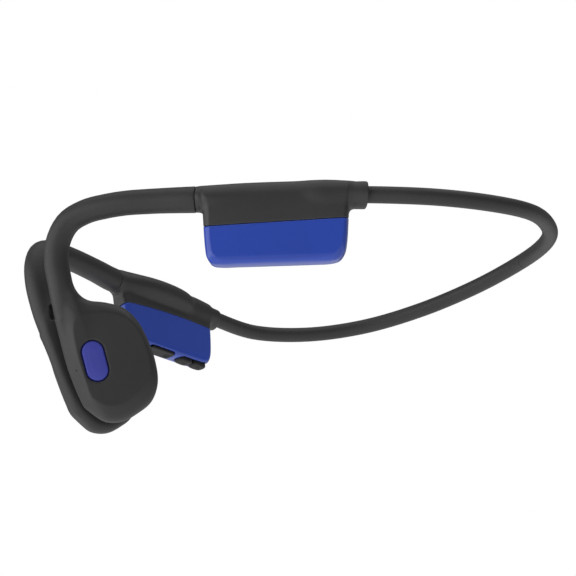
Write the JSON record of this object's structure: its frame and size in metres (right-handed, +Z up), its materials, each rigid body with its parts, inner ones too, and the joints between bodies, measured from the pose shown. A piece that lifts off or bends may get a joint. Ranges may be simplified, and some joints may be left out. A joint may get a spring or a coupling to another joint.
{
  "type": "bone conduction headphones",
  "caption": "Open-ear wraparound headphones with a slim sprung neckband, two pods behind the ears, ear hooks and transducers that rest on the cheekbones.",
  "frame": {"origin": "centre of the bounding box in plan, at the lowest point of the transducers", "axes": "+X to the wearer's left, -Y forward (transducers at the front, neckband at the back), +Z up as worn"},
  "size_m": [0.1316, 0.1563, 0.0698],
  "materials": {
    "silicone": "matte",
    "shell": "satin",
    "gloss_blue": "gloss",
    "matt_blue": "satin",
    "rubber": "matte",
    "titanium": "brushed",
    "cable": "satin",
    "steel": "plain",
    "copper": "bright",
    "black_plastic": "satin",
    "board": "satin",
    "foil": "foil"
  },
  "bodies": {
    "neckband": {"neck_band_sleeve": "silicone", "neck_band_wire": "titanium", "neck_band_cable": "cable"},
    "left_arm": {"left_band_sleeve": "silicone", "left_band_wire": "titanium", "left_band_cable": "cable", "left_ear_hook": "silicone", "left_hook_wire": "titanium", "left_pod_cover": "shell", "left_pod_case": "gloss_blue", "left_transducer_shell": "shell", "left_cheek_pad": "silicone", "left_spring_plate": "steel", "left_voice_coil": "copper", "left_coil_former": "black_plastic", "left_magnet": "steel", "left_yoke": "steel", "battery": "foil", "battery_board": "board", "multifunction_switch": "black_plastic"},
    "right_arm": {"right_band_sleeve": "silicone", "right_band_wire": "titanium", "right_band_cable": "cable", "right_ear_hook": "silicone", "right_hook_wire": "titanium", "right_pod_cover": "shell", "right_pod_case": "gloss_blue", "right_transducer_shell": "shell", "right_cheek_pad": "silicone", "right_spring_plate": "steel", "right_voice_coil": "copper", "right_coil_former": "black_plastic", "right_magnet": "steel", "right_yoke": "steel", "main_board": "board", "radio_shield": "steel", "usb_c_receptacle": "steel", "volume_down_switch": "black_plastic", "volume_up_switch": "black_plastic"},
    "multifunction_key": {"multifunction_button": "matt_blue"},
    "volume_down_key": {"volume_down_button": "rubber"},
    "volume_up_key": {"volume_up_button": "rubber"},
    "port_flap": {"port_cover": "rubber"}
  },
  "joints": [
    {"name": "left_band_flex", "type": "hinge", "parent": "neckband", "child": "left_arm", "pos_m": [0.03237, 0.06601, 0.06318], "axis": [0, 0, 1], "range_deg": [0, 30], "stiffness_Nm_per_rad": 0.25},
    {"name": "right_band_flex", "type": "hinge", "parent": "neckband", "child": "right_arm", "pos_m": [-0.03237, 0.06601, 0.06318], "axis": [0, 0, -1], "range_deg": [0, 30], "stiffness_Nm_per_rad": 0.25},
    {"name": "multifunction_press", "type": "slide", "parent": "left_arm", "child": "multifunction_key", "axis": [-0.9632, 0.2061, 0.1724], "range_m": [0, 0.0005], "stiffness_N_per_m": 2500},
    {"name": "volume_down_press", "type": "slide", "parent": "right_arm", "child": "volume_down_key", "axis": [-0.1301, -0.0701, 0.989], "range_m": [0, 0.0005], "stiffness_N_per_m": 2500},
    {"name": "volume_up_press", "type": "slide", "parent": "right_arm", "child": "volume_up_key", "axis": [-0.1301, -0.0701, 0.989], "range_m": [0, 0.0005], "stiffness_N_per_m": 2500},
    {"name": "port_flap_turn", "type": "hinge", "parent": "right_arm", "child": "port_flap", "pos_m": [-0.03866, -0.03222, 0.03651], "axis": [-0.8708, -0.4689, -0.1478], "range_deg": [0, 100]}
  ]
}
